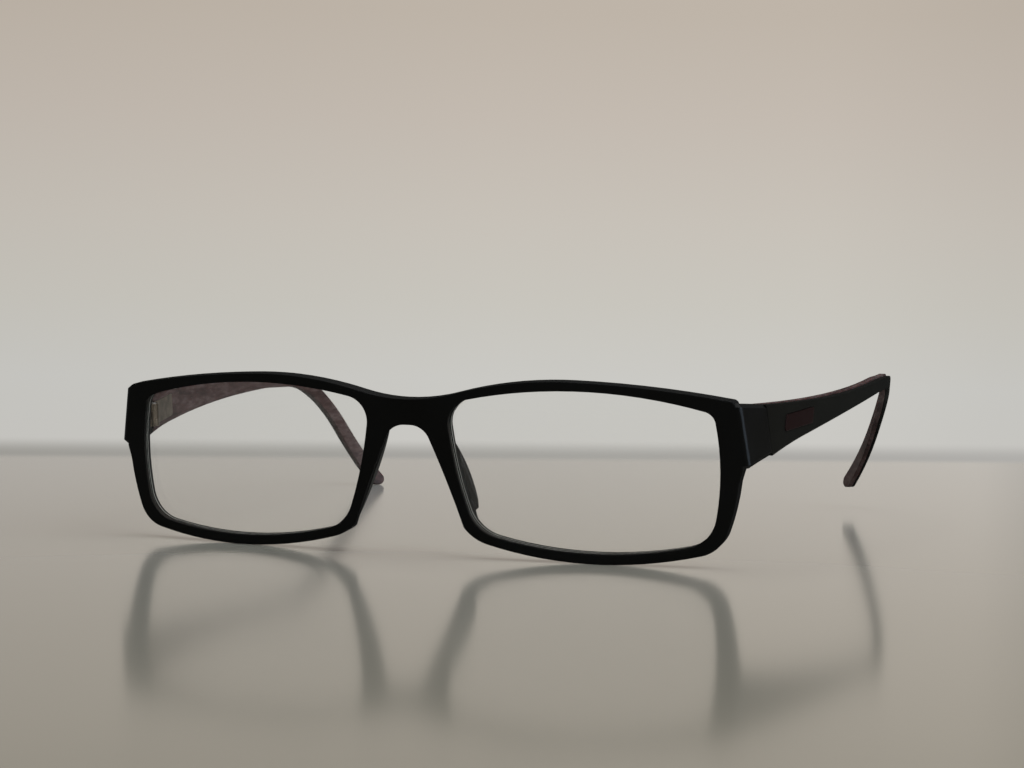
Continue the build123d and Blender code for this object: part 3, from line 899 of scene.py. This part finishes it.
@dataclass
class SoftLight:
    """World glow and large soft lamps, like daylight from windows in a plain room.

    Attributes:
        wall_levels: lowest and highest direction that the wall's colours cover.
        wall_colours: colours of the wall, from low to high.
        seen_across: strength of the backdrop that is looked at, from left to right.
        glow_across: strength of the wall's glow, from left to right.
        wall_depth: directions between which the room turns into the wall.
        dark_above: directions between which the wall turns into the ceiling.
        room_colour: glow of the room in front.
        room_dimming: share of that glow that is left on the dim side.
        room_across: where the room is dim, and where it is full.
        ceiling_colour: glow of the ceiling.
        lamps: the lamps.
    """

    wall_levels: Range = (-0.075, 0.16)
    wall_colours: Stops = (
        (0.00, (0.585, 0.575, 0.545)),
        (0.17, (0.590, 0.583, 0.553)),
        (0.34, (0.578, 0.558, 0.509)),
        (0.52, (0.571, 0.533, 0.479)),
        (0.74, (0.546, 0.491, 0.434)),
        (0.96, (0.515, 0.456, 0.392)),
    )
    seen_across: Levels = (
        (0.22, 0.93),
        (0.34, 1.0),
        (0.42, 1.01),
        (0.465, 0.95),
    )
    glow_across: Levels = (
        (0.04, 0.15),
        (0.21, 0.95),
        (0.35, 1.05),
        (0.46, 1.20),
        (0.53, 0.15),
        (0.86, 0.10),
        (0.97, 0.60),
    )
    wall_depth: Range = (-0.35, 0.35)
    dark_above: Range = (0.22, 0.40)
    room_colour: Colour = (0.34, 0.33, 0.31)
    room_dimming: float = 0.4
    room_across: Range = (0.05, 0.5)
    ceiling_colour: Colour = (0.10, 0.098, 0.092)
    lamps: tuple[Lamp, ...] = (
        Lamp("overhead", (0.0, 0.15, 1.30), 1.30, 9.5, (1.0, 0.985, 0.96)),
        Lamp("window_right", (1.45, -0.20, 1.10), 2.00, 24.0, (0.87, 0.94, 1.0)),
        Lamp("room_left", (-1.20, -0.60, 0.80), 0.90, 0.3, (1.0, 0.97, 0.93)),
    )

    def build(self) -> None:
        """Makes the world and the lamps."""
        self.world()
        for lamp in self.lamps:
            lamp.build()

    def world(self) -> None:
        """Makes the backdrop that is looked at, and the glow that lights and mirrors."""
        world = bpy.data.worlds.new("plain_room")
        bpy.context.scene.world = world
        world.use_nodes = True
        tree = Tree(world.node_tree)
        where = tree.add("TexCoord")
        sideways, depth, height = tree.parts(where.outputs["Generated"])
        wall = tree.ramp(tree.reach(height, self.wall_levels), self.wall_colours)
        across = tree.reach(sideways, (-1.0, 1.0))
        seen = self.shaded(tree, wall, across, self.seen_across)
        glow = self.shaded(tree, wall, across, self.glow_across)

        room = tree.add("Background")
        dim = tuple(part * self.room_dimming for part in self.room_colour)
        shade = tree.ramp(across, tuple(zip(self.room_across, (dim, self.room_colour))))
        tree.link(shade, room.inputs["Color"])
        away = tree.reach(depth, self.wall_depth)
        around = tree.mixed(away, room.outputs["Background"], glow)

        ceiling = tree.add("Background", Color=(*self.ceiling_colour, 1.0))
        high = tree.reach(height, self.dark_above)
        unseen = tree.mixed(high, around, ceiling.outputs["Background"])

        rays = tree.add("LightPath")
        kinds = (rays.outputs[f"Is {kind} Ray"] for kind in ("Camera", "Transmission"))
        out = tree.add("OutputWorld")
        tree.link(tree.mixed(tree.number("MAXIMUM", *kinds), unseen, seen), out.inputs["Surface"])

    @staticmethod
    def shaded(tree: Tree, colour: Socket, across: Socket, levels: Levels) -> Socket:
        """Background whose strength changes from left to right.

        Args:
            tree: node tree to add to.
            colour: its colour.
            across: place from left to right, from 0 to 1.
            levels: places, and the strength there.

        Returns:
            The background.
        """
        top = max(level for _, level in levels)
        stops = tuple((place, (level / top,) * 3) for place, level in levels)
        strength = tree.number("MULTIPLY", tree.ramp(across, stops), top)
        background = tree.add("Background")
        tree.link(colour, background.inputs["Color"])
        tree.link(strength, background.inputs["Strength"])
        return background.outputs["Background"]


@dataclass
class PhotoCamera:
    """Camera where the photograph was taken from.

    Attributes:
        place: where it stands, in metres.
        azimuth: turn about the vertical, in degrees.
        elevation: how far it looks down, in degrees.
        roll: tilt about its own axis, in degrees.
        focal_pixels: focal length in pixels of the photograph.
        picture_width: the photograph's width in pixels.
        sensor: width of the sensor, in millimetres.
        clip_start: nearest distance that is drawn, in metres.
    """

    place: tuple[float, float, float] = (0.13862, -0.43013, 0.04835)
    azimuth: float = 18.17
    elevation: float = 2.10
    roll: float = 0.99
    focal_pixels: float = 1951.95
    picture_width: float = 1024.0
    sensor: float = 36.0
    clip_start: float = 0.01

    def build(self) -> None:
        """Makes the camera and sets it as the scene's."""
        data = bpy.data.cameras.new("photo_camera")
        data.sensor_width = self.sensor
        data.lens = self.focal_pixels * self.sensor / self.picture_width
        data.clip_start = self.clip_start
        camera = bpy.data.objects.new("photo_camera", data)
        camera.matrix_world = self.pose()
        bpy.context.scene.collection.objects.link(camera)
        bpy.context.scene.camera = camera
        log.info("photo_camera: %.1f mm lens", data.lens)

    def pose(self) -> Matrix:
        """Works out where the camera stands and looks.

        Returns:
            Its matrix in the scene.
        """
        az, el, roll = (math.radians(angle) for angle in (self.azimuth, self.elevation, self.roll))
        back = Vector((math.sin(az) * math.cos(el), -math.cos(az) * math.cos(el), math.sin(el)))
        level = Vector((math.cos(az), math.sin(az), 0.0))
        upright = back.cross(level)
        right = level * math.cos(roll) + upright * math.sin(roll)
        up = upright * math.cos(roll) - level * math.sin(roll)
        pose = Matrix((right, up, back)).transposed().to_4x4()
        pose.translation = Vector(self.place)
        return pose


def write_sizes() -> None:
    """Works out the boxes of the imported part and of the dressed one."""
    boxes = {"cad": CAD_BOX, "visual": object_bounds()}
    {name: [list(corner) for corner in box] for name, box in boxes.items()}


def main() -> None:
    """Builds everything in order."""
    logging.basicConfig(level=logging.INFO, format="%(name)s %(message)s")
    made = {slot: finish.make() for slot, finish in FINISHES.items()}
    PhotoCamera().build()
    Front(made[Slot.FRAME], made[Slot.LENS], made[Slot.PAD]).build()
    for side in Side:
        Hinge(side, made[Slot.HINGE], made[Slot.SCREW]).build()
        Temple(side, made[Slot.TEMPLE], made[Slot.LINER], made[Slot.CORE], made[Slot.INLAY]).build()
    Table().build()
    SoftLight().build()
    bpy.context.scene.view_settings.view_transform = "Standard"
    write_sizes()


if __name__ == "__main__":
    main()
